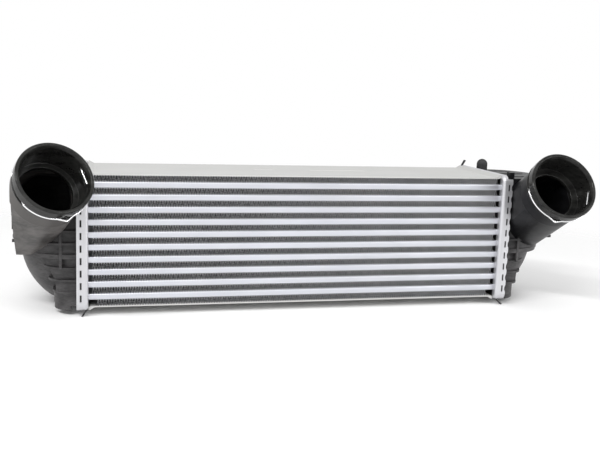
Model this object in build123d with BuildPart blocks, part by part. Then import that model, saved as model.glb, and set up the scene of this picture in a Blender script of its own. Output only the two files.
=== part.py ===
from build123d import *
import os
from collections import namedtuple
from math import cos, radians, sin

os.makedirs("parts", exist_ok=True)

# An air-to-air intercooler: a brazed aluminium tube-and-fin core, a pressed header at
# each end, and a moulded tank with a round socket crimped into each header.
# X runs along the core, the cooling air flows along +Y, and Z is up. The origin is the
# centre of the lower side plate's underside. All sizes are in millimetres.

# ---- Core ----
core_length = 520          # between the two header plates
core_depth = 126           # in the direction of the cooling air
tube_count = 10            # flat charge-air tubes
row_height = 7.4           # one tube, and also one row of fins
plate_thickness = 1.5      # side plates, and the sheet of the headers
tube_wall = 0.8
tube_nose = 1.6            # rounding of the tubes' front and rear edges
fin_sheet = 1.1
fin_waves = 24             # folds of one row of cooling fins, fewer than the real strip
fin_end_gap = 4.2          # from the last fold to the header
end_row_gap = 9.5          # the lowest row stops shorter
fin_setback = 1            # fins behind the tubes' faces
turbulator_waves = 9
turbulator_sheet = 1.0

row_pitch = 2 * row_height
core_top = plate_thickness + (2 * tube_count + 1) * row_height
header_face = core_length / 2

# ---- Side plates ----
flare_length = 7           # the plate's ends turn out to meet the headers
flare_height = 3.2
bead_width = 2.6
bead_height = 0.7
beads = ((-41, 28), (57, 76))      # centre and length of the two pressed beads
end_hole_radius = 1.4
end_hole_inset = 10

# ---- Headers ----
tray_half_depth = 71
tray_height = 165
tray_mid_z = 79.5
tray_depth = 13.6          # from the plate to the crimped edge
tray_corner = 8.5
tray_bend = 4
crimp_slot = (8.4, 2.2)
crimp_slot_reach = 8.8     # from the header's face
scallop_radius = 8         # the right header's crimped edge is scalloped, the left one's is straight
scallop_depth = 1.4
corner_relief = (6.8, 5)    # the crimped edge is trimmed at its two upper corners

# ---- Gaskets ----
gasket_thickness = 2
gasket_width = 2.5
seat_clearance = 0.2       # all round a piece that drops into the header tray
ear_width = 4              # tail of the gasket that hangs out of the tray
ear_thickness = 1.9
ear_drop = 7.5
ear_y = -64
ear_slot = (5, 7)          # along X from the gasket's inner face, and height
# Lower or upper end, how far outboard the tail starts, and how far its tip leans out.
left_ears = ((-1, 0, 4.6),)
right_ears = ((-1, 2, 8), (1, 0.5, 4))

# ---- Tanks ----
wall = 3
tank_base = 1.5
flange_thickness = 5.5
shelf_z = 61.2             # the main rib, which is also the floor of the deep upper part
shelf_thickness = 5.5
tank_top = 157
tank_half_depth = 60
rib_thickness = 2.4
rib_out = 4                # ribs stand this far out of the wall
rib_pitch = 14.6
foot_bottom = -4.5

# The deep upper part: reach of its outboard wall from the core's centre, and its corners.
box_reach = 344
box_corner = 57
# Below the shelf: a foot block, a wall that flares out to the shelf, and a round belly.
foot_reach = 300
foot_corner = 27
flare = ((297, 17.8), (302.5, 41))         # reach and height of two points, then reach at the shelf
flare_top = 325
flare_round = (330, 59)                    # reach and corner in plan
belly_centre = (270, 12)
belly = ((37.6, tank_base), (60, 28.2))    # radius and height of two points, then radius at the shelf
belly_top = 69.9
lower_ribs = ((301, 22), (306, 24), (314, 36))     # reach and corner of the three lower ribs
upper_ribs = (76.4, 91)
upright_rib = (290, 293.3, 47, 98)                 # inner and outer X, lower and upper Z
outboard_rib = (339, 349, 85, 120)                 # the same, across the outboard wall

# ---- Ports ----
# The spout's outer skin stays between the header's crimp and the outboard wall.
spout_inner_limit = 274.6
spout_outer_limit = 341.5
spout_run = 200            # reaches the middle of the tank
spout_radius = 40
socket_radius = 37.5
duct_radius = 36.5
lead_in = 3.5
stop_length = 5
collar_width = 3.6         # beyond the groove
rim_radius = 43
flange_radius = 42.8

Port = namedtuple("Port", "side mouth toe_in rise seat_depth stop_radius clip_depth kink_angle nub_reach tail_limit")
left_port = Port(-1, (-293.8, -119.7, 160.5), 22.3, 33.0, 38, 31.5, 14, -81, 346.5, 342.6)
right_port = Port(1, (311.0, -131.1, 157.4), 0.0, 29.8, 34, 28.6, 12.3, -110, 353, 360)

# ---- Spring clips ----
wire_radius = 1.1
groove_floor = 41.6
groove_width = 3.8
clip_radius = groove_floor + wire_radius
kink_radius = 46.3
kink_half_angle = 12
leg_half_angle = 25.5        # a straight leg spans this much to each side of its middle
clip_bend = 2.5
leg_radius = clip_radius * cos(radians(leg_half_angle))
leg_length = 2 * clip_radius * sin(radians(leg_half_angle))
window_length = 21         # where a leg shows inside the socket
window_depth = 4           # cut from this far inside the bore
window_lip = 5             # the window reaches this far beyond the groove towards the mouth

# ---- Mounting pegs ----
peg_at = (285.5, 46)
peg_pin_radius = 4
peg_pin_height = 9
bush_radius = 7.5
bush_height = 16


def finish(part, label):
    """Name a finished piece and write it."""
    part.label = label
    export_step(part, f"parts/{label}.step")


def corrugation(run, height, waves, sheet):
    """Closed outline of a folded strip: its upper side out, its lower side back."""
    step = run / (2 * waves)
    crest = (height - sheet) / 2
    folds = [(i * step - run / 2, crest if i % 2 else -crest) for i in range(2 * waves + 1)]
    upper = [(along, up + sheet / 2) for along, up in folds]
    lower = [(along, up - sheet / 2) for along, up in reversed(folds)]
    return upper + lower


# ---------------------------------------------------------------- core
tube_reach = header_face + plate_thickness + 1.5
tube_heights = [plate_thickness + 1.5 * row_height + row_pitch * row for row in range(tube_count)]
fin_heights = [plate_thickness + 0.5 * row_height + row_pitch * row for row in range(tube_count + 1)]


def charge_tube(mid_z):
    """One flat tube, open at both ends, which runs through both headers."""
    with BuildPart() as tube:
        with BuildSketch(Plane.YZ.offset(-tube_reach)):
            with Locations((0, mid_z)):
                RectangleRounded(core_depth, row_height, tube_nose)
                Rectangle(core_depth - 2 * tube_wall, row_height - 2 * tube_wall, mode=Mode.SUBTRACT)
        extrude(amount=2 * tube_reach)
    return tube.part


def turbulator(mid_z):
    """Folded strip inside a tube: its channels run the length of the tube."""
    run = core_depth - 2 * tube_wall
    with BuildPart() as strip:
        with BuildSketch(Plane.YZ.offset(-header_face)):
            with BuildLine():
                points = corrugation(run, row_height - 2 * tube_wall, turbulator_waves, turbulator_sheet)
                Polyline(*[(along, up + mid_z) for along, up in points], close=True)
            make_face()
        extrude(amount=core_length)
    return strip.part


def air_fin(mid_z, end_gap):
    """Folded strip between two tubes: its channels run front to back."""
    run = core_length - 2 * end_gap
    with BuildPart() as strip:
        with BuildSketch(Plane.XZ):
            with BuildLine():
                points = corrugation(run, row_height, fin_waves, fin_sheet)
                Polyline(*[(along, up + mid_z) for along, up in points], close=True)
            make_face()
        extrude(amount=core_depth / 2 - fin_setback, both=True)
    return strip.part


for number, mid_z in enumerate(tube_heights, start=1):
    finish(charge_tube(mid_z), f"charge_tube_{number:02d}")
    finish(turbulator(mid_z), f"turbulator_{number:02d}")
for number, mid_z in enumerate(fin_heights, start=1):
    finish(air_fin(mid_z, end_row_gap if number == 1 else fin_end_gap), f"air_fin_{number:02d}")


# ---------------------------------------------------------------- side plates
def side_plate(inner_z, outward):
    """Cover sheet of the core, with its two ends turned out along the headers."""
    far_z = inner_z + outward * plate_thickness
    tip_z = far_z + outward * flare_height
    flat_end = header_face - flare_length
    with BuildPart() as plate:
        with BuildSketch(Plane.XZ):
            with Locations((0, (inner_z + far_z) / 2)):
                Rectangle(2 * flat_end, plate_thickness)
            for end in (-1, 1):
                with BuildLine():
                    Polyline((end * flat_end, inner_z), (end * (header_face - 2), inner_z),
                             (end * header_face, inner_z + outward * 1.5),
                             (end * header_face, tip_z),
                             (end * (header_face - plate_thickness), tip_z),
                             (end * flat_end, far_z), close=True)
                make_face()
        extrude(amount=core_depth / 2, both=True)
    return plate.part


with BuildPart() as top_plate:
    add(side_plate(core_top, 1))
    with BuildSketch(Plane.XY.offset(core_top + plate_thickness)):
        for centre, length in beads:
            with Locations((centre, 0)):
                SlotOverall(length, bead_width)
    extrude(amount=bead_height, taper=20)
    with BuildSketch(Plane.XY.offset(core_top)):
        with Locations(*[(end * (header_face - end_hole_inset), 0) for end in (-1, 1)]):
            Circle(end_hole_radius)
    extrude(amount=plate_thickness, mode=Mode.SUBTRACT)
finish(top_plate.part, "top_side_plate")
finish(side_plate(plate_thickness, -1), "bottom_side_plate")


# ---------------------------------------------------------------- headers
def header(side, ears):
    """Pressed tray: tube slots in its plate, and crimp slots and a trimmed edge on its walls."""
    face = side * header_face
    with BuildPart() as tray:
        with BuildSketch(Plane.YZ.offset(face)):
            with Locations((0, tray_mid_z)):
                RectangleRounded(2 * tray_half_depth, tray_height, tray_corner)
        extrude(amount=side * tray_depth)
        faces = tray.faces().filter_by(Axis.X).sort_by(Axis.X)
        plate_face, open_face = (faces[0], faces[-1]) if side > 0 else (faces[-1], faces[0])
        fillet(plate_face.edges(), tray_bend)
        offset(amount=-plate_thickness, openings=open_face)
        with BuildSketch(Plane.YZ.offset(face)):
            with Locations(*[(0, mid_z) for mid_z in tube_heights]):
                RectangleRounded(core_depth, row_height, tube_nose)
        extrude(amount=side * 2 * plate_thickness, mode=Mode.SUBTRACT)
        with BuildSketch(Plane.XZ):
            with Locations(*[(face + side * crimp_slot_reach, mid_z) for mid_z in tube_heights]):
                Rectangle(*reversed(crimp_slot))
            edge = face + side * (tray_depth + scallop_radius - scallop_depth)
            if side > 0:
                with Locations(*[(edge, mid_z) for mid_z in tube_heights]):
                    Circle(scallop_radius)
            relief_x, relief_z = corner_relief
            with Locations((face + side * tray_depth, tray_mid_z + tray_height / 2)):
                Rectangle(2 * relief_x, 2 * relief_z)
        extrude(amount=2 * tray_half_depth, both=True, mode=Mode.SUBTRACT)
        slot_x, slot_z = ear_slot
        for end, _, _ in ears:    # slots for the gasket's tails
            with BuildSketch(Plane.XY.offset(tray_mid_z + end * (tray_height / 2 - slot_z))):
                with Locations((face + side * (plate_thickness + slot_x / 2), -end * ear_y)):
                    Rectangle(slot_x, ear_width)
            extrude(amount=end * 2 * slot_z, mode=Mode.SUBTRACT)
    return tray.part


# ---------------------------------------------------------------- gaskets
def gasket(side, ears):
    """Flat rubber ring under the tank's flange, with tails that hang out of the tray."""
    inner_x = side * (header_face + plate_thickness)
    outer_half = tray_half_depth - tray_bend
    outer_height = tray_height - 2 * tray_bend
    corner = tray_corner - gasket_width
    with BuildPart() as ring:
        with BuildSketch(Plane.YZ.offset(inner_x)):
            with Locations((0, tray_mid_z)):
                RectangleRounded(2 * outer_half, outer_height, corner)
                RectangleRounded(2 * (outer_half - gasket_width), outer_height - 2 * gasket_width,
                                 corner - gasket_width, mode=Mode.SUBTRACT)
        extrude(amount=side * gasket_thickness)
        for end, shift, lean in ears:
            root_z = tray_mid_z + end * (outer_height / 2 - gasket_width / 2)
            wall_z = tray_mid_z + end * tray_height / 2
            bend_z = wall_z - end * plate_thickness
            mid_x = inner_x + side * gasket_thickness / 2
            wall_x, tip_x = mid_x + side * shift, mid_x + side * (shift + lean)
            tip_z = wall_z + end * ear_drop
            half = ear_thickness / 2
            with BuildSketch(Plane.XZ.offset(end * ear_y)):
                with BuildLine():
                    Polyline((mid_x - half, root_z), (mid_x - half, bend_z), (wall_x - half, wall_z),
                             (tip_x - half, tip_z), (tip_x + half, tip_z - end * 0.6),
                             (wall_x + half, wall_z), (mid_x + half, bend_z), (mid_x + half, root_z),
                             close=True)
                make_face()
            extrude(amount=ear_width / 2 - seat_clearance, both=True)
    return ring.part


# ---------------------------------------------------------------- tanks
root = header_face + plate_thickness + gasket_thickness      # where the tanks' flanges start


def plan(side, root, z, reach, half, corner):
    """Horizontal section of a tank: square to the header, rounded at the outboard corners."""
    with BuildSketch(Plane.XY.offset(z)) as section:
        with Locations((side * (root + reach) / 2, 0)):
            Rectangle(reach - root, 2 * half)
        outboard = section.vertices().sort_by(Axis.X)[-2:] if side > 0 else section.vertices().sort_by(Axis.X)[:2]
        fillet(outboard, corner)
    return section.sketch


def box_form(side, root, bottom, top, inset=0):
    """Upright box with the tank's round outboard corners."""
    with BuildPart() as form:
        add(plan(side, root, bottom, box_reach - inset, tank_half_depth - inset, box_corner - inset))
        extrude(amount=top - bottom)
    return form.part


def lower_form(side, root, top, inset=0):
    """Foot block, a wall that flares out to the shelf, and a round belly behind it."""
    bottom = tank_base + inset
    half = tank_half_depth - inset
    lip, middle, crest = [(side * (reach - inset), z) for reach, z in (*flare, (flare_top, top))]
    with BuildPart() as wall_part:
        with BuildSketch(Plane.XZ):
            with BuildLine():
                ThreePointArc(lip, middle, crest)
                Polyline(crest, (side * root, top), (side * root, lip[1]), lip)
            make_face()
        extrude(amount=half, both=True)
        reach, corner = flare_round
        add(plan(side, root, lip[1], reach - inset, half, corner - inset))
        extrude(amount=top - lip[1], mode=Mode.INTERSECT)
    centre_x, centre_y = belly_centre
    low, mid, high = [(side * (centre_x + radius - inset), z) for radius, z in (*belly, (belly_top, top))]
    with BuildPart() as form:
        add(plan(side, root, bottom, foot_reach - inset, half, foot_corner - inset))
        extrude(amount=lip[1] + inset - bottom)
        with BuildSketch(Plane.XZ.offset(-centre_y)):
            with BuildLine():
                ThreePointArc(low, mid, high)
                Polyline(high, (side * centre_x, top), (side * centre_x, low[1]), low)
            make_face()
        revolve(axis=Axis((side * centre_x, centre_y, 0), (0, 0, 1)))
        add(box_form(side, root, bottom, top, inset), mode=Mode.INTERSECT)
        add(wall_part.part)
    return form.part


def port_plane(port):
    """Plane of the port's mouth: Z points out of the mouth, Y is up."""
    toe, rise = radians(port.toe_in), radians(port.rise)
    outward = Vector(sin(toe) * cos(rise), -cos(toe) * cos(rise), sin(rise))
    return Plane(origin=port.mouth, x_dir=Vector(cos(toe), sin(toe), 0), z_dir=outward)


def spout_form(port, radius, inset=0):
    """Round duct from the socket into the tank, flattened where it would leave the tank's box."""
    inner, outer = spout_inner_limit + inset, spout_outer_limit - inset
    with BuildPart() as form:
        with BuildSketch(port_plane(port).offset(-port.seat_depth - stop_length)):
            Circle(radius)
        extrude(amount=-spout_run)
        with BuildSketch(Plane.XY.offset(shelf_z + inset)):
            with Locations((port.side * (inner + outer) / 2, -spout_run / 2)):
                Rectangle(outer - inner, spout_run)
        extrude(amount=tray_height, mode=Mode.INTERSECT)
    return form.part


def rib_slab(side, z, thickness, reach, half, corner):
    """Horizontal rib that runs round the tank."""
    with BuildPart() as slab:
        add(plan(side, header_face + 12, z - thickness / 2, reach, half, corner))
        extrude(amount=thickness)
    return slab.part


def tank(side, port):
    """Hollow moulding: flange, ribbed wall, belly and the deep upper box, open to the spout."""
    outer_half = tray_half_depth - plate_thickness - seat_clearance
    with BuildPart() as body:
        with BuildSketch(Plane.YZ.offset(side * root)):
            with Locations((0, tray_mid_z)):
                RectangleRounded(2 * outer_half, tray_height - 2 * (plate_thickness + seat_clearance),
                                 tray_corner - plate_thickness)
        extrude(amount=side * flange_thickness)
        add(lower_form(side, root, shelf_z))
        add(box_form(side, root, shelf_z, tank_top))
        # ribs
        half = tank_half_depth + rib_out
        for row, (reach, corner) in enumerate(lower_ribs):
            add(rib_slab(side, 17.8 + row * rib_pitch, rib_thickness, reach, half, corner))
        add(rib_slab(side, shelf_z, shelf_thickness, 341.5, half, 60))
        for z in upper_ribs:
            add(rib_slab(side, z, rib_thickness, 348.5, half, 60))
        inner_x, outer_x, low_z, high_z = upright_rib
        with BuildSketch(Plane.XY.offset(low_z)):
            with Locations((side * (inner_x + outer_x) / 2, 0)):
                Rectangle(outer_x - inner_x, 2 * half)
        extrude(amount=high_z - low_z)
        # feet
        with BuildSketch(Plane.XY.offset(foot_bottom)):
            for end in (-1, 1):
                with Locations((side * 290, end * 50)):
                    Rectangle(20, 20)
            add(plan(side, root, foot_bottom, foot_reach, tank_half_depth, foot_corner), mode=Mode.INTERSECT)
            for end in (-1, 1):
                with Locations(*[(side * x, end * tank_half_depth) for x in (282, 286, 290)]):
                    Rectangle(1.4, 3, mode=Mode.SUBTRACT)
        extrude(amount=14)
        # stiffeners on the roof and on the outboard wall
        with BuildSketch(Plane.XY.offset(tank_top - wall)):
            with Locations(*[(side * 299, y) for y in (-35, 0, 35)]):
                Rectangle(50, wall)
        extrude(amount=wall + 0.7)
        with BuildSketch(Plane.XY.offset(tank_top - wall)):
            with Locations((side * 277.5, -55)):
                Rectangle(6, 10)
        extrude(amount=wall + 8)
        inner_x, outer_x, low_z, high_z = outboard_rib
        with BuildSketch(Plane.XY.offset(low_z)):
            with Locations((side * (inner_x + outer_x) / 2, -10)):
                Rectangle(outer_x - inner_x, wall)
        extrude(amount=high_z - low_z)
        with BuildSketch(Plane.YZ.offset(side * 335)):
            with Locations((-38, upper_ribs[0])):
                Circle(2)
        extrude(amount=side * (port.nub_reach - 335))
        # peg that carries the mounting bush
        with BuildSketch(Plane.XY.offset(tank_top - wall)):
            with Locations((side * peg_at[0], peg_at[1])):
                Circle(peg_pin_radius)
        extrude(amount=wall + peg_pin_height)
        # air space
        ceiling = tank_top - wall
        floor = shelf_z + shelf_thickness / 2
        open_root = root - wall
        add(lower_form(side, open_root, floor, wall), mode=Mode.SUBTRACT)
        add(box_form(side, open_root, floor, ceiling, wall), mode=Mode.SUBTRACT)
        add(spout_form(port, duct_radius, wall), mode=Mode.SUBTRACT)
    return body.part


def spout(side, port, body):
    """Round duct moulded onto the tank, from its wall to the socket."""
    with BuildPart() as duct:
        add(spout_form(port, spout_radius))
        add(spout_form(port, duct_radius, wall), mode=Mode.SUBTRACT)
        add(box_form(side, root, shelf_z, tank_top), mode=Mode.SUBTRACT)
        add(body, mode=Mode.SUBTRACT)
    return duct.solids().sort_by(SortBy.VOLUME)[-1]      # without the crumb beside the upright rib


# ---------------------------------------------------------------- ports
def port_socket(port):
    """Turned mouth of the tank: rolled lip, groove for the clip, straight bore and a stop."""
    mouth = port_plane(port)
    section = Plane(origin=mouth.origin, x_dir=mouth.x_dir, z_dir=mouth.x_dir.cross(mouth.z_dir))
    near, far = port.clip_depth - groove_width / 2, port.clip_depth + groove_width / 2
    collar, end = far + collar_width, port.seat_depth + stop_length
    with BuildPart() as socket:
        with BuildSketch(section):
            with BuildLine():
                Polyline((port.stop_radius, -port.seat_depth), (socket_radius, -port.seat_depth),
                         (socket_radius, -lead_in), (socket_radius + 2, 0),
                         (rim_radius - 1, 0), (rim_radius, -1), (rim_radius, -near),
                         (groove_floor, -near), (groove_floor, -far), (flange_radius, -far),
                         (flange_radius, 2 - collar), (spout_radius, -collar),
                         (spout_radius, -end), (port.stop_radius, -end), close=True)
            make_face()
        revolve(axis=Axis(mouth.origin, mouth.z_dir))
        for quarter in (-90, 90):
            angle = port.kink_angle + quarter
            floor = leg_radius - wire_radius
            with BuildSketch(mouth.offset(-near)):      # slot that the leg lies in
                with PolarLocations((floor + flange_radius) / 2, 1, start_angle=angle):
                    Rectangle(flange_radius - floor, leg_length)
            extrude(amount=near - far, mode=Mode.SUBTRACT)
            with BuildSketch(mouth.offset(window_lip - near)):      # window inside the mouth
                with PolarLocations(socket_radius - window_depth / 2, 1, start_angle=angle):
                    Rectangle(window_depth + 2 * (floor + wire_radius - socket_radius), window_length)
            extrude(amount=near - far - window_lip, mode=Mode.SUBTRACT)
        with BuildSketch(Plane.YZ.offset(port.side * port.tail_limit)):       # flat, in line with the spout's
            Circle(spout_run)
        extrude(amount=port.side * rim_radius, mode=Mode.SUBTRACT)
        with BuildSketch(Plane.XY.offset(tray_mid_z - tray_height / 2)):      # relief beside the header
            Rectangle(2 * (header_face + tray_depth + seat_clearance),
                      2 * (tray_half_depth + seat_clearance))
        extrude(amount=tray_height + seat_clearance, mode=Mode.SUBTRACT)
    return socket.part


def polar(radius, angle):
    return (radius * cos(radians(angle)), radius * sin(radians(angle)))


def spring_clip(port):
    """Wire ring in the socket's groove: a finger kink, and a straight leg in each window."""
    at = port.kink_angle
    leg_start, leg_end = 90 - leg_half_angle, 90 + leg_half_angle
    plane = port_plane(port).offset(-port.clip_depth)
    with BuildPart() as clip:
        with BuildLine(plane) as path:
            back = polar(clip_radius, at + 180)
            ThreePointArc(back, polar(clip_radius, at + 150), polar(clip_radius, at + leg_end))
            Line(polar(clip_radius, at + leg_end), polar(clip_radius, at + leg_start))
            ThreePointArc(polar(clip_radius, at + leg_start), polar(clip_radius, at + 40),
                          polar(clip_radius, at + kink_half_angle))
            Polyline(polar(clip_radius, at + kink_half_angle), polar(kink_radius, at),
                     polar(clip_radius, at - kink_half_angle))
            ThreePointArc(polar(clip_radius, at - kink_half_angle), polar(clip_radius, at - 40),
                          polar(clip_radius, at - leg_start))
            Line(polar(clip_radius, at - leg_start), polar(clip_radius, at - leg_end))
            ThreePointArc(polar(clip_radius, at - leg_end), polar(clip_radius, at - 150), back)
            opposite = plane.from_local_coords(back)
            fillet([v for v in path.vertices() if (Vector(v) - opposite).length > 1], clip_bend)
        wire = path.wires()[0]
        with BuildSketch(Plane(origin=wire @ 0, z_dir=wire % 0)):
            Circle(wire_radius)
        sweep(path=wire)
    return clip.part


def mounting_bush(side):
    """Rubber bush with a domed end, pushed over the tank's peg."""
    x = side * peg_at[0]
    shoulder = tank_top + bush_height - bush_radius
    with BuildPart() as bush:
        with BuildSketch(Plane.XZ.offset(-peg_at[1])):
            with BuildLine():
                Polyline((x, tank_top + bush_height), (x, tank_top), (x + bush_radius, tank_top),
                         (x + bush_radius, shoulder))
                RadiusArc((x + bush_radius, shoulder), (x, tank_top + bush_height), -bush_radius)
            make_face()
        revolve(axis=Axis((side * peg_at[0], peg_at[1], 0), (0, 0, 1)))
        with BuildSketch(Plane.XY.offset(tank_top)):
            with Locations((side * peg_at[0], peg_at[1])):
                Circle(peg_pin_radius)
        extrude(amount=peg_pin_height, mode=Mode.SUBTRACT)
    return bush.part


for name, port, ears in (("left", left_port, left_ears), ("right", right_port, right_ears)):
    finish(header(port.side, ears), f"{name}_header")
    finish(gasket(port.side, ears), f"{name}_gasket")
    body = tank(port.side, port)
    finish(body, f"{name}_tank")
    finish(spout(port.side, port, body), f"{name}_spout")
    finish(port_socket(port), f"{name}_port_socket")
    finish(spring_clip(port), f"{name}_spring_clip")
    finish(mounting_bush(port.side), f"{name}_mounting_bush")
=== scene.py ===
import math

import bpy
import numpy as np
from bpy.props import FloatProperty, FloatVectorProperty, IntProperty, PointerProperty
from mathutils import Matrix, Vector


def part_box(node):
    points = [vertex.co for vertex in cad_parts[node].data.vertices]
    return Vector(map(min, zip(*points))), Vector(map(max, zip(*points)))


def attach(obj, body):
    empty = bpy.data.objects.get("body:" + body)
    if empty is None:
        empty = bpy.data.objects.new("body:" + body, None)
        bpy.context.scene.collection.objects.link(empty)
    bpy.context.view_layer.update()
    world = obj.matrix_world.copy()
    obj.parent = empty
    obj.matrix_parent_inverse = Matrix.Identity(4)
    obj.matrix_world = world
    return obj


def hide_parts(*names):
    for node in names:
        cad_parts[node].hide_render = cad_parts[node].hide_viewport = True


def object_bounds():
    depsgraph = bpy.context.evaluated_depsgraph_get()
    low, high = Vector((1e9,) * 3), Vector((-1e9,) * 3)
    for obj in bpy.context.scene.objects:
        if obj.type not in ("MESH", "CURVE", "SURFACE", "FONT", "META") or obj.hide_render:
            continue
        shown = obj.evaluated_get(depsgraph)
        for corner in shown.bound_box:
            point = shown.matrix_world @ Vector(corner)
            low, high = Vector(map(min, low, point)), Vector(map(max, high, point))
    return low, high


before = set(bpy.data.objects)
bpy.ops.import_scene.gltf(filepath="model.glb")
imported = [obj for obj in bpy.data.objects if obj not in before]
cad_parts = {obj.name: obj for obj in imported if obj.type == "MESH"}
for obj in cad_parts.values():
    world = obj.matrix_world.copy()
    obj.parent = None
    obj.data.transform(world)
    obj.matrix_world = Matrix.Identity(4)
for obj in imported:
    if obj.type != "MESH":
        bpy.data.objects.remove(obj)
cad_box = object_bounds()

bl_info = {
    "name": "Intercooler",
    "version": (1, 0, 0),
    "blender": (4, 5, 0),
    "location": "3D View > Sidebar > Intercooler",
    "description": "Louvred fins, metal, plastic and rubber finishes, and a stage for an intercooler",
    "category": "Object",
}

MM = 0.001
SIDES = ("left", "right")
TUBES = sorted(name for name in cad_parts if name.startswith("charge_tube"))
FIN_ROWS = sorted(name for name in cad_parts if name.startswith("air_fin"))
TURBULATORS = sorted(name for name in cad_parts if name.startswith("turbulator"))

# Each port: middle of its mouth, turn inwards and rise in degrees, and the depth where its collar ends.
PORTS = {
    "left": ((-293.8, -119.7, 160.5), 22.3, 33.0, 18.0),
    "right": ((311.0, -131.1, 157.4), 0.0, 29.8, 16.5),
}
SOCKET_TAIL_RADIUS = (38.2, 38.6)    # the outside of a socket behind its collar starts here
TAIL_FADE = 1.5                      # length over which the collar's look changes to the spout's
SPOUT_ROUGHNESS = 0.38
TAIL_ROUGHNESS = 0.42
TAIL_SPECULAR = 0.2

DARK_PATCH, LIGHT_PATCH = 0.5, 1.55  # shares of a moulding's colour in its dark and light patches
SHADE_LINE = (-20, 12)                # heights about the tanks' middle over which the painted shade above the main rib fades in

LEG_EDGE = 0.22                      # share of a fin's leg above and below its louvres
LIP = 1.2 * MM                       # plain strip in front of the louvres
LOUVRE_SHARE = 0.55                  # half a louvre's width, as a share of the louvres' spacing
BRAZE_TIP = 0.74                     # height of the braze's tip, as a share of half the strip's height

# Each lamp: its power's setting, its place, its width, and its height where it is a strip.
LAMPS = {
    "overhead_lamp": ("overhead", (0.1, -0.35, 1.5), 1.6, None),
    "front_lamp": ("front", (-0.3, -1.6, 0.9), 1.4, None),
    "low_lamp": ("low", (-1.25, -1.15, 0.15), 0.5, None),
    "key_lamp": ("key", (-0.85, -1.0, 1.35), 1.5, 0.15),
    "fill_lamp": ("fill", (1.05, -1.2, 0.85), 0.9, 0.1),
    "side_lamp": ("side", (1.3, -0.7, 0.1), 0.5, None),
}
LAMP_TARGET = (0, 0, 0.08)
FLOOR_REACH = 6
SENSOR_WIDTH = 36
LENS_SHIFT = (0.0013, -0.0155)


# ---------------------------------------------------------------- settings
def length(name, description, default):
    return FloatProperty(name=name, description=description, default=default, unit="LENGTH", precision=5)


def colour(name, description, default):
    return FloatVectorProperty(name=name, description=description, default=default, size=3,
                               subtype="COLOR", min=0, max=1)


class FinSettings(bpy.types.PropertyGroup):
    """Folded and louvred strips between the tubes."""

    pitch: length("Pitch", "Length of one fold of the strip along the core", 3.07 * MM)
    sheet: length("Sheet", "Thickness of the strip", 0.12 * MM)
    crest: length("Crest", "Flat width where a fold is brazed to its tube", 0.5 * MM)
    braze: length("Braze", "Width of the braze that fills a fold beside its tube", 0.95 * MM)
    louvre_pitch: length("Louvre pitch", "Spacing of the louvres from front to back", 1.7 * MM)
    louvre_angle: FloatProperty(name="Louvre angle", description="Turn of a louvre out of its leg",
                                default=math.radians(34), subtype="ANGLE")
    louvre_count: IntProperty(name="Louvres", description="Louvres at each face of the core", default=4,
                              min=1, max=12)
    colour: colour("Colour", "Colour of the strip at the two faces of the core", (0.72, 0.72, 0.74))
    # Painted shade: behind its faces the strip fades to this dark colour, as the inside of the core lies in
    # shade.
    inside_shade: colour("Deep colour", "Colour of the strip inside the core", (0.02, 0.02, 0.022))
    # The painted shade is full at this distance behind a face.
    shade_depth: length("Shade depth", "Distance behind a face at which the strip is dull", 1.2 * MM)


class MetalSettings(bpy.types.PropertyGroup):
    """Aluminium of the tubes, side plates and headers, and the wire."""

    tube: colour("Tubes", "Colour of the charge-air tubes", (0.60, 0.61, 0.655))
    plate: colour("Side plates", "Colour of the two side plates", (0.515, 0.515, 0.505))
    header: colour("Headers", "Colour of the two headers", (0.58, 0.58, 0.60))
    # Painted shade: the headers' inner faces between the tubes are darkened to this colour.
    inner_shade: colour("Inside", "Colour of the headers' inner faces beside the fins", (0.03, 0.03, 0.03))
    wire: colour("Wire", "Colour of the spring clips", (0.83, 0.83, 0.84))


class MouldingSettings(bpy.types.PropertyGroup):
    """Plastic of the tanks and sockets, and the rubber pieces."""

    # Below the main rib the tanks keep this colour; above it they fade to the upper colours, which carry
    # painted shade.
    tank: colour("Tanks", "Colour of the moulded tanks near the floor, where dust has settled",
                 (0.055, 0.053, 0.054))
    # Painted shade: the tanks are darker above their main rib, the right one far darker than the left, though
    # both are the same plastic.
    left_upper: colour("Left tank above", "Colour of the left tank above its main rib",
                       (0.023, 0.022, 0.022))
    right_upper: colour("Right tank above", "Colour of the right tank above its main rib",
                        (0.005, 0.005, 0.006))
    # Painted light and shade: the spouts are the same plastic; the left is painted light where the light
    # falls on it, the right painted dark in its shade.
    left_spout: colour("Left spout", "Colour of the left spout, which is dusty", (0.080, 0.075, 0.072))
    right_spout: colour("Right spout", "Colour of the right spout, which is clean", (0.008, 0.008, 0.009))
    socket: colour("Sockets", "Colour of the two round sockets", (0.017, 0.017, 0.016))
    rubber: colour("Rubber", "Colour of the gaskets and bushes", (0.022, 0.022, 0.023))
    grain: length("Grain", "Size of the tanks' moulded grain", 0.9 * MM)


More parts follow.
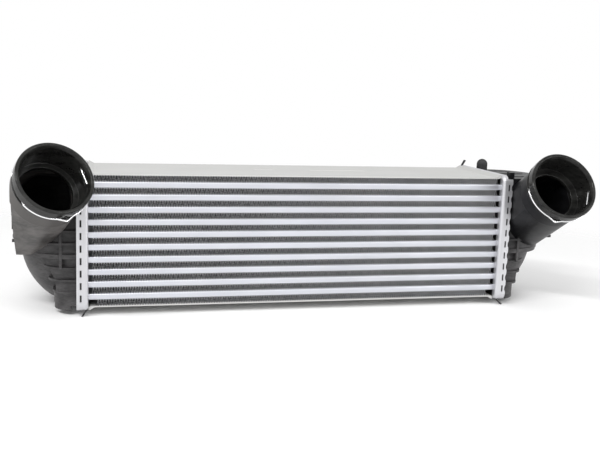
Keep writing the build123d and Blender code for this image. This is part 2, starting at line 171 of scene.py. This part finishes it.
class StageSettings(bpy.types.PropertyGroup):
    """Floor, lamps and camera."""

    floor: colour("Floor", "Colour of the floor", (0.97, 0.97, 0.97))
    fade_start: length("Fade start", "Distance at which the floor starts to fade out", 0.55)
    fade_end: length("Fade end", "Distance at which the floor is gone", 0.9)
    sky: FloatProperty(name="Sky", description="Strength of the light from all round", default=0.6)
    overhead: FloatProperty(name="Overhead lamp", description="Power of the lamp above", default=3,
                            subtype="POWER")
    front: FloatProperty(name="Front lamp", description="Power of the lamp beside the camera", default=2,
                         subtype="POWER")
    low: FloatProperty(name="Low lamp", description="Power of the small lamp low on the left", default=1.5,
                       subtype="POWER")
    side: FloatProperty(name="Side lamp", description="Power of the small lamp low on the right", default=2.5,
                        subtype="POWER")
    key: FloatProperty(name="Key lamp", description="Power of the main lamp, a strip high on the left",
                       default=21, subtype="POWER")
    fill: FloatProperty(name="Fill lamp", description="Power of the strip lamp high on the right", default=7,
                        subtype="POWER")
    lens: FloatProperty(name="Lens", description="Focal length in millimetres", default=50.4)
    camera: FloatVectorProperty(name="Camera", description="Place of the camera", unit="LENGTH",
                                default=(-0.258, -1.05278, 0.27132), precision=5)
    turn: FloatProperty(name="Turn", description="How far the camera looks to the right of +Y",
                        default=math.radians(14.159), subtype="ANGLE")
    pitch: FloatProperty(name="Pitch", description="How far the camera looks down",
                         default=math.radians(9.0285), subtype="ANGLE")
    roll: FloatProperty(name="Roll", description="Tilt of the camera about its own axis",
                        default=math.radians(-2.1546), subtype="ANGLE")


# ---------------------------------------------------------------- finishes
class Finish:
    """A material and short calls for the nodes that the finishes share."""

    def __init__(self, name, metallic=0.0, roughness=0.5, specular=0.5):
        self.material = bpy.data.materials.new(name)
        self.material.use_nodes = True
        self.tree = self.material.node_tree
        self.shader = self.tree.nodes["Principled BSDF"]
        self.shader.inputs["Metallic"].default_value = metallic
        self.shader.inputs["Roughness"].default_value = roughness
        self.shader.inputs["Specular IOR Level"].default_value = specular
        self.place = self.add("ShaderNodeTexCoord").outputs["Object"]

    def add(self, kind, links=(), **values):
        """A node with its sockets set or linked by name, and its properties by keyword."""
        node = self.tree.nodes.new(kind)
        for key, value in values.items():
            setattr(node, key, value)
        for socket, source in dict(links).items():
            if isinstance(source, bpy.types.NodeSocket):
                self.tree.links.new(source, node.inputs[socket])
            else:
                node.inputs[socket].default_value = source
        return node

    def stretched(self, size):
        """Object coordinates divided by a size for each axis, moved off the noise's own grid planes."""
        links = {"Vector": self.place, "Location": (3.37, 5.71, 7.53),
                 "Scale": tuple(1 / value for value in size)}
        return self.add("ShaderNodeMapping", links).outputs["Vector"]

    def noise(self, size, detail=3.0, roughness=0.55):
        """Cloudy noise from 0 to 1, with a grain size for each axis."""
        links = {"Vector": self.stretched(size), "Scale": 1.0, "Detail": detail, "Roughness": roughness}
        return self.add("ShaderNodeTexNoise", links).outputs["Fac"]

    def along(self, axis):
        """Object coordinate along one axis."""
        return self.add("ShaderNodeSeparateXYZ", {"Vector": self.place}).outputs[axis]

    def ramp(self, factor, low, high, low_value=0.0, high_value=1.0):
        """Factor stretched from low..high to the two values."""
        links = {"Value": factor, "From Min": low, "From Max": high,
                 "To Min": low_value, "To Max": high_value}
        return self.add("ShaderNodeMapRange", links).outputs["Result"]

    def blend(self, factor, first, second):
        """Colour between two colours."""
        node = self.add("ShaderNodeMix", data_type="RGBA")
        for socket, source in ((0, factor), (6, first), (7, second)):
            if isinstance(source, bpy.types.NodeSocket):
                self.tree.links.new(source, node.inputs[socket])
            else:
                node.inputs[socket].default_value = (*source, 1.0) if socket else source
        return node.outputs[2]

    def combine(self, first, second, operation="ADD"):
        """Two values added, or combined by another operation."""
        links = {0: first, 1: second}
        return self.add("ShaderNodeMath", links, operation=operation).outputs["Value"]

    def vector(self, operation, first, second=(0, 0, 0)):
        """A vector operation's node."""
        return self.add("ShaderNodeVectorMath", {0: first, 1: second}, operation=operation)

    def painted(self, socket):
        """What is linked to a socket of the shader."""
        return self.shader.inputs[socket].links[0].from_socket

    def paint(self, socket, source):
        """Links a socket of the shader."""
        self.tree.links.new(source, self.shader.inputs[socket])

    def raise_by(self, height, distance, strength=1.0):
        """Bump of a real depth."""
        links = {"Height": height, "Distance": distance, "Strength": strength}
        self.bump = self.add("ShaderNodeBump", links)
        self.paint("Normal", self.bump.outputs["Normal"])

    def soften_edges(self, radius):
        """Lets sharp edges catch the light as if they were rounded."""
        bevel = self.add("ShaderNodeBevel", {"Radius": radius}, samples=6)
        self.tree.links.new(bevel.outputs["Normal"], self.bump.inputs["Normal"])


def scaled(rgb, factor):
    """A colour made darker or lighter."""
    return tuple(min(1.0, channel * factor) for channel in rgb)


def drawn_metal(name, rgb, roughness, streak, contrast=0.12, metallic=0.85, depth=0.02 * MM):
    """Drawn or rolled sheet: fine streaks along the sheet and faint clouding."""
    finish = Finish(name, metallic, roughness)
    streaks = finish.noise(streak, 4.0)
    clouds = finish.noise((60 * MM, 60 * MM, 60 * MM), 2.0)
    mixed = finish.combine(finish.ramp(streaks, 0.3, 0.7), finish.ramp(clouds, 0.3, 0.7))
    factor = finish.ramp(mixed, 0.0, 2.0)
    dark, light = scaled(rgb, 1 - contrast), scaled(rgb, 1 + contrast / 2)
    finish.paint("Base Color", finish.blend(factor, dark, light))
    finish.paint("Roughness", finish.ramp(streaks, 0.2, 0.8, roughness - 0.06, roughness + 0.08))
    if depth:
        finish.raise_by(streaks, depth, 0.5)
    return finish


def moulded(name, rgb, grain, roughness, depth, specular=0.4, upper=None):
    """Moulded plastic: grain, flow marks and scuffs, and another colour with painted shade above the main rib
    if given.
    """
    finish = Finish(name, 0.0, roughness, specular)
    fine = finish.noise((grain, grain, grain), 3.0)
    flow = finish.noise((40 * MM, 40 * MM, 12 * MM), 3.0)
    scuffs = finish.noise((11 * MM, 11 * MM, 3.5 * MM), 6.0, 0.7)
    factor = finish.ramp(finish.combine(flow, scuffs), 0.8, 1.25)
    tint = finish.blend(factor, scaled(rgb, DARK_PATCH), scaled(rgb, LIGHT_PATCH))
    # Painted shade: above the main rib the tint fades to the darker upper colour.
    if upper:
        low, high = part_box("left_tank")
        middle = (low[2] + high[2]) / 2
        unshaded_to, shaded_from = (middle + height * MM for height in SHADE_LINE)
        above = finish.ramp(finish.along("Z"), unshaded_to, shaded_from)
        shaded_tint = finish.blend(factor, scaled(upper, DARK_PATCH), scaled(upper, LIGHT_PATCH))
        tint = finish.blend(above, tint, shaded_tint)
    finish.paint("Base Color", tint)
    finish.paint("Roughness", finish.ramp(flow, 0.3, 0.7, roughness - 0.05, roughness + 0.08))
    finish.raise_by(fine, depth, 0.8)
    return finish


def dress(node, finish):
    """Gives a CAD node's object a finish."""
    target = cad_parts[node]
    target.data.materials.clear()
    target.data.materials.append(finish.material)


# ---------------------------------------------------------------- meshes
def plates(corners, thickness):
    """Thin closed plates: corners is (n, 4, 3), and each plate is centred on its four corners."""
    normal = np.cross(corners[:, 1] - corners[:, 0], corners[:, 3] - corners[:, 0])
    normal /= np.linalg.norm(normal, axis=1, keepdims=True)
    shift = normal[:, None, :] * thickness / 2
    vertices = np.concatenate([corners - shift, corners + shift], axis=1)
    sides = [(3, 2, 1, 0), (4, 5, 6, 7), (0, 1, 5, 4), (1, 2, 6, 5), (2, 3, 7, 6), (3, 0, 4, 7)]
    faces = np.arange(len(corners))[:, None, None] * 8 + np.array(sides)[None]
    return vertices.reshape(-1, 3), faces.reshape(-1, 4)


def mesh_of(name, vertices, faces):
    """A mesh from arrays of vertices and faces."""
    mesh = bpy.data.meshes.new(name)
    mesh.from_pydata(vertices.tolist(), [], faces.tolist())
    mesh.update()
    return mesh


def place(mesh, name, finish, node, location=(0, 0, 0)):
    """Puts a mesh in the scene in the place of a CAD node."""
    mesh.materials.clear()
    mesh.materials.append(finish.material)
    piece = bpy.data.objects.new(name, mesh)
    piece.location = location
    bpy.context.scene.collection.objects.link(piece)
    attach(piece, "root")
    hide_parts(node)
    return piece


def fin_strip(run, height, depth, settings):
    """One folded strip, centred on the origin: crests full depth, legs with louvres at both faces."""
    folds = 2 * round(run / settings.pitch)
    step = run / folds
    half_height = (height - settings.sheet) / 2
    half_crest = settings.crest / 2
    half_depth = depth / 2
    bank = settings.louvre_count * settings.louvre_pitch
    quads, fillets = [], []

    def quad(low, high, front, back):
        quads.append(((low[0], front, low[1]), (high[0], front, high[1]),
                      (high[0], back, high[1]), (low[0], back, low[1])))

    def louvre(low, high, middle, turn):
        across = math.sin(turn) * settings.louvre_pitch * LOUVRE_SHARE
        along = math.cos(turn) * settings.louvre_pitch * LOUVRE_SHARE
        quads.append(((low[0] - across, middle - along, low[1]),
                      (high[0] - across, middle - along, high[1]),
                      (high[0] + across, middle + along, high[1]),
                      (low[0] + across, middle + along, low[1])))

    for fold in range(folds):
        foot_side = -1 if fold % 2 else 1
        start = -run / 2 + fold * step
        foot = Vector((start + half_crest, -foot_side * half_height))
        head = Vector((start + step - half_crest, foot_side * half_height))
        low, high = foot.lerp(head, LEG_EDGE), foot.lerp(head, 1 - LEG_EDGE)
        quad(foot, low, -half_depth, half_depth)
        quad(high, head, -half_depth, half_depth)
        crest_end = Vector((start + step + half_crest, foot_side * half_height))
        if fold < folds - 1:
            quad(head, crest_end, -half_depth, half_depth)
            root = (head + crest_end) / 2
            tip = Vector((root[0], root[1] * BRAZE_TIP))
            fillets.append(((root[0], -half_depth, root[1]), (tip[0], -half_depth, tip[1]),
                            (tip[0], half_depth, tip[1]), (root[0], half_depth, root[1])))
        quad(low, high, -half_depth, -half_depth + LIP)
        quad(low, high, -half_depth + LIP + bank, half_depth - LIP - bank)
        quad(low, high, half_depth - LIP, half_depth)
        for face in (-1, 1):
            for number in range(settings.louvre_count):
                middle = face * (half_depth - LIP - (number + 0.5) * settings.louvre_pitch)
                louvre(low, high, middle, foot_side * settings.louvre_angle)
    sheet, sheet_faces = plates(np.array(quads), settings.sheet)
    braze, braze_faces = plates(np.array(fillets), settings.braze)
    return np.concatenate([sheet, braze]), np.concatenate([sheet_faces, braze_faces + len(sheet)])


# ---------------------------------------------------------------- operators
class INTERCOOLER_OT_fins(bpy.types.Operator):
    """Fold the louvred fin strips between the tubes"""

    bl_idname = "intercooler.fins"
    bl_label = "Cooling fins"

    def execute(self, context):
        settings = context.scene.intercooler_fins
        finish = Finish("fin_sheet", 0.35, 0.42)
        mottle = finish.noise((25 * MM, 25 * MM, 25 * MM), 3.0)
        tint = finish.blend(finish.ramp(mottle, 0.3, 0.7), scaled(settings.colour, 0.88),
                            scaled(settings.colour, 1.08))
        low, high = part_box(FIN_ROWS[1])
        half_depth = (high[1] - low[1]) / 2
        # Painted shade: the strip's colour fades to the inside shade behind each face of the core.
        from_middle = finish.combine(finish.along("Y"), 0.0, "ABSOLUTE")
        inside = finish.ramp(from_middle, half_depth, half_depth - settings.shade_depth)
        finish.paint("Base Color", finish.blend(inside, tint, settings.inside_shade))
        finish.raise_by(finish.noise((2 * MM, 2 * MM, 2 * MM)), 0.02 * MM, 0.5)
        meshes = {}
        for node in FIN_ROWS:
            low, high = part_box(node)
            run = round(high[0] - low[0], 5)
            if run not in meshes:
                size = (run, high[2] - low[2], high[1] - low[1])
                meshes[run] = mesh_of(f"fin_strip_{len(meshes) + 1}", *fin_strip(*size, settings))
            place(meshes[run], f"{node}_strip", finish, node,
                  ((low[0] + high[0]) / 2, 0, (low[2] + high[2]) / 2))
        return {"FINISHED"}


class INTERCOOLER_OT_metal(bpy.types.Operator):
    """Finish the tubes, plates, headers and turbulators"""

    bl_idname = "intercooler.metal"
    bl_label = "Core metal"

    def execute(self, context):
        settings = context.scene.intercooler_metal
        tube = drawn_metal("drawn_tube", settings.tube, 0.34, (90 * MM, 4 * MM, 0.7 * MM), 0.10)
        plate = drawn_metal("rolled_plate", settings.plate, 0.62, (70 * MM, 2 * MM, 30 * MM), 0.06, 0.3,
                            depth=0)
        header = drawn_metal("pressed_header", settings.header, 0.38, (6 * MM, 6 * MM, 60 * MM), 0.08, 0.7)
        self.shade_inner_faces(header, settings.inner_shade)
        strip = drawn_metal("turbulator_sheet", settings.tube, 0.4, (60 * MM, 3 * MM, 3 * MM), 0.2)
        for node in TUBES:
            dress(node, tube)
        for node in TURBULATORS:
            dress(node, strip)
        for node in ("top_side_plate", "bottom_side_plate"):
            dress(node, plate)
        for side in SIDES:
            dress(f"{side}_header", header)
        return {"FINISHED"}

    def shade_inner_faces(self, finish, inner_shade):
        """Darkens the headers' faces between the tubes, behind the front and rear edges of the core, with
        painted shade.
        """
        half_run, half_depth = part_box("top_side_plate")[1][:2]
        out = finish.combine(finish.along("X"), 0.0, "ABSOLUTE")
        back = finish.combine(finish.along("Y"), 0.0, "ABSOLUTE")
        facing = finish.ramp(out, half_run + 0.3 * MM, half_run + 0.1 * MM)
        behind = finish.ramp(back, half_depth, half_depth - 2 * MM)
        both = finish.combine(facing, behind, "MULTIPLY")
        finish.paint("Base Color", finish.blend(both, finish.painted("Base Color"), inner_shade))


class INTERCOOLER_OT_tanks(bpy.types.Operator):
    """Finish the moulded tanks and the rubber pieces"""

    bl_idname = "intercooler.tanks"
    bl_label = "Tanks"

    def execute(self, context):
        settings = context.scene.intercooler_moulding
        rubber = moulded("rubber", settings.rubber, 0.4 * MM, 0.7, 0.03 * MM)
        for side in SIDES:
            # The upper colour paints shade on the tank above its main rib.
            upper = getattr(settings, f"{side}_upper")
            plastic = moulded(f"{side}_tank_plastic", settings.tank, settings.grain, 0.42, 0.05 * MM, 0.25,
                              upper)
            plastic.soften_edges(1.0 * MM)
            dress(f"{side}_tank", plastic)
            # The spout colours carry painted light on the left and painted shade on the right.
            spout = moulded(f"{side}_spout_plastic", getattr(settings, f"{side}_spout"), settings.grain,
                            SPOUT_ROUGHNESS, 0.04 * MM, 0.3)
            dress(f"{side}_spout", spout)
            dress(f"{side}_gasket", rubber)
            dress(f"{side}_mounting_bush", rubber)
        return {"FINISHED"}


class INTERCOOLER_OT_ports(bpy.types.Operator):
    """Finish the sockets and their spring clips"""

    bl_idname = "intercooler.ports"
    bl_label = "Sockets and clips"

    def execute(self, context):
        moulding = context.scene.intercooler_moulding
        metal = context.scene.intercooler_metal
        wire = drawn_metal("spring_wire", metal.wire, 0.2, (3 * MM, 3 * MM, 3 * MM), 0.08, 1.0)
        for side in SIDES:
            gloss = moulded(f"{side}_socket_plastic", moulding.socket, 2.5 * MM, 0.14, 0.01 * MM, 0.2)
            self.tailed(gloss, side, getattr(moulding, f"{side}_spout"))
            gloss.soften_edges(1.6 * MM)
            dress(f"{side}_port_socket", gloss)
            dress(f"{side}_spring_clip", wire)
        return {"FINISHED"}

    def tailed(self, finish, side, rgb):
        """Gives the outside of a socket behind its collar the look of its spout, with the spout colour's
        painted light and shade.
        """
        mouth, toe_in, rise, collar = PORTS[side]
        toe_in, rise = math.radians(toe_in), math.radians(rise)
        axis = (math.sin(toe_in) * math.cos(rise), -math.cos(toe_in) * math.cos(rise), math.sin(rise))
        centre = tuple(value * MM for value in mouth)
        from_mouth = finish.vector("SUBTRACT", finish.place, centre).outputs["Vector"]
        height = finish.vector("DOT_PRODUCT", from_mouth, axis).outputs["Value"]
        across = finish.vector("CROSS_PRODUCT", from_mouth, axis).outputs["Vector"]
        radius = finish.vector("LENGTH", across).outputs["Value"]
        behind = finish.ramp(height, -collar * MM, -(collar + TAIL_FADE) * MM)
        outside = finish.ramp(radius, *(value * MM for value in SOCKET_TAIL_RADIUS))
        tail = finish.combine(behind, outside, "MULTIPLY")
        rest = finish.combine(1.0, tail, "SUBTRACT")
        kept = finish.combine(finish.painted("Roughness"), rest, "MULTIPLY")
        added = finish.combine(tail, TAIL_ROUGHNESS, "MULTIPLY")
        specular = finish.shader.inputs["Specular IOR Level"].default_value
        finish.paint("Base Color", finish.blend(tail, finish.painted("Base Color"), rgb))
        finish.paint("Roughness", finish.combine(kept, added))
        finish.paint("Specular IOR Level", finish.ramp(tail, 0.0, 1.0, specular, TAIL_SPECULAR))


class INTERCOOLER_OT_stage(bpy.types.Operator):
    """Add the floor, the lamps and the camera"""

    bl_idname = "intercooler.stage"
    bl_label = "Stage"

    def execute(self, context):
        settings = context.scene.intercooler_stage
        scene = context.scene
        scene.view_settings.view_transform = "Standard"
        self.floor(settings)
        self.sky(scene, settings)
        for name, (power, location, width, height) in LAMPS.items():
            self.lamp(name, getattr(settings, power), location, width, height, scene)
        self.camera(scene, settings)
        return {"FINISHED"}

    def floor(self, settings):
        """A pale floor that fades into the white backdrop away from the object."""
        finish = Finish("floor", 0.0, 0.9, 0.1)
        soft = finish.noise((0.4, 0.4, 0.4), 1.0)
        finish.paint("Base Color", finish.blend(soft, scaled(settings.floor, 0.99), settings.floor))
        away = finish.add("ShaderNodeVectorMath", {0: finish.place}, operation="LENGTH").outputs["Value"]
        clear = finish.add("ShaderNodeBsdfTransparent").outputs[0]
        fade = finish.ramp(away, settings.fade_start, settings.fade_end)
        mix = finish.add("ShaderNodeMixShader", {0: fade, 1: finish.shader.outputs[0], 2: clear})
        finish.tree.links.new(mix.outputs[0], finish.tree.nodes["Material Output"].inputs["Surface"])
        height = cad_box[0][2]
        signs = ((-1, -1), (1, -1), (1, 1), (-1, 1))
        corners = [(x * FLOOR_REACH, y * FLOOR_REACH, height) for x, y in signs]
        mesh = bpy.data.meshes.new("floor")
        mesh.from_pydata(corners, [], [(0, 1, 2, 3)])
        mesh.materials.append(finish.material)
        floor = bpy.data.objects.new("floor", mesh)
        bpy.context.scene.collection.objects.link(floor)

    def sky(self, scene, settings):
        """Even light, and plain white wherever the camera or a reflection sees past the object."""
        world = bpy.data.worlds.new("sky")
        world.use_nodes = True
        scene.world = world
        tree = world.node_tree
        light = tree.nodes["Background"]
        light.inputs["Color"].default_value = (1, 1, 1, 1)
        light.inputs["Strength"].default_value = settings.sky
        white = tree.nodes.new("ShaderNodeBackground")
        white.inputs["Color"].default_value = (1, 1, 1, 1)
        path = tree.nodes.new("ShaderNodeLightPath")
        seen = tree.nodes.new("ShaderNodeMath")
        seen.operation = "MAXIMUM"
        tree.links.new(path.outputs["Is Camera Ray"], seen.inputs[0])
        mirrored = tree.nodes.new("ShaderNodeMath")
        mirrored.operation = "MAXIMUM"
        tree.links.new(path.outputs["Is Glossy Ray"], mirrored.inputs[0])
        tree.links.new(path.outputs["Is Transmission Ray"], mirrored.inputs[1])
        tree.links.new(mirrored.outputs["Value"], seen.inputs[1])
        mix = tree.nodes.new("ShaderNodeMixShader")
        tree.links.new(seen.outputs["Value"], mix.inputs[0])
        tree.links.new(light.outputs[0], mix.inputs[1])
        tree.links.new(white.outputs[0], mix.inputs[2])
        tree.links.new(mix.outputs[0], tree.nodes["World Output"].inputs["Surface"])

    def lamp(self, name, power, location, width, height, scene):
        """A lamp aimed at the object: square, or a long strip where it has a height."""
        data = bpy.data.lights.new(name, "AREA")
        data.energy = power
        data.size = width
        if height:
            data.shape = "RECTANGLE"
            data.size_y = height
        lamp = bpy.data.objects.new(name, data)
        lamp.location = location
        aim = Vector(LAMP_TARGET) - Vector(location)
        lamp.rotation_euler = aim.to_track_quat("-Z", "Y").to_euler()
        scene.collection.objects.link(lamp)

    def camera(self, scene, settings):
        """The camera, in front of the object and a little above and to the left of it."""
        data = bpy.data.cameras.new("camera")
        data.lens = settings.lens
        data.sensor_width = SENSOR_WIDTH
        data.shift_x, data.shift_y = LENS_SHIFT
        data.clip_end = 50
        camera = bpy.data.objects.new("camera", data)
        turn = (Matrix.Rotation(-settings.turn, 4, "Z")
                @ Matrix.Rotation(math.pi / 2 - settings.pitch, 4, "X")
                @ Matrix.Rotation(-settings.roll, 4, "Z"))
        camera.matrix_world = Matrix.Translation(settings.camera) @ turn
        scene.collection.objects.link(camera)
        scene.camera = camera


# ---------------------------------------------------------------- panel
class INTERCOOLER_PT_sidebar(bpy.types.Panel):
    """Lists the steps that dress the intercooler"""

    bl_idname = "INTERCOOLER_PT_sidebar"
    bl_label = "Intercooler"
    bl_space_type = "VIEW_3D"
    bl_region_type = "UI"
    bl_category = "Intercooler"

    def draw(self, context):
        for operator in OPERATORS:
            self.layout.operator(operator.bl_idname)
        for name in GROUPS:
            box = self.layout.box()
            group = getattr(context.scene, name)
            for key in group.__annotations__:
                box.prop(group, key)


GROUPS = {
    "intercooler_fins": FinSettings,
    "intercooler_metal": MetalSettings,
    "intercooler_moulding": MouldingSettings,
    "intercooler_stage": StageSettings,
}
OPERATORS = (
    INTERCOOLER_OT_stage,
    INTERCOOLER_OT_fins,
    INTERCOOLER_OT_metal,
    INTERCOOLER_OT_tanks,
    INTERCOOLER_OT_ports,
)


def register():
    for name, group in GROUPS.items():
        bpy.utils.register_class(group)
        setattr(bpy.types.Scene, name, PointerProperty(type=group))
    for item in (*OPERATORS, INTERCOOLER_PT_sidebar):
        bpy.utils.register_class(item)


def unregister():
    for item in (INTERCOOLER_PT_sidebar, *reversed(OPERATORS)):
        bpy.utils.unregister_class(item)
    for name, group in reversed(GROUPS.items()):
        delattr(bpy.types.Scene, name)
        bpy.utils.unregister_class(group)


def main():
    register()
    bpy.ops.intercooler.stage()
    bpy.ops.intercooler.fins()
    bpy.ops.intercooler.metal()
    bpy.ops.intercooler.tanks()
    bpy.ops.intercooler.ports()


if __name__ == "__main__":
    main()
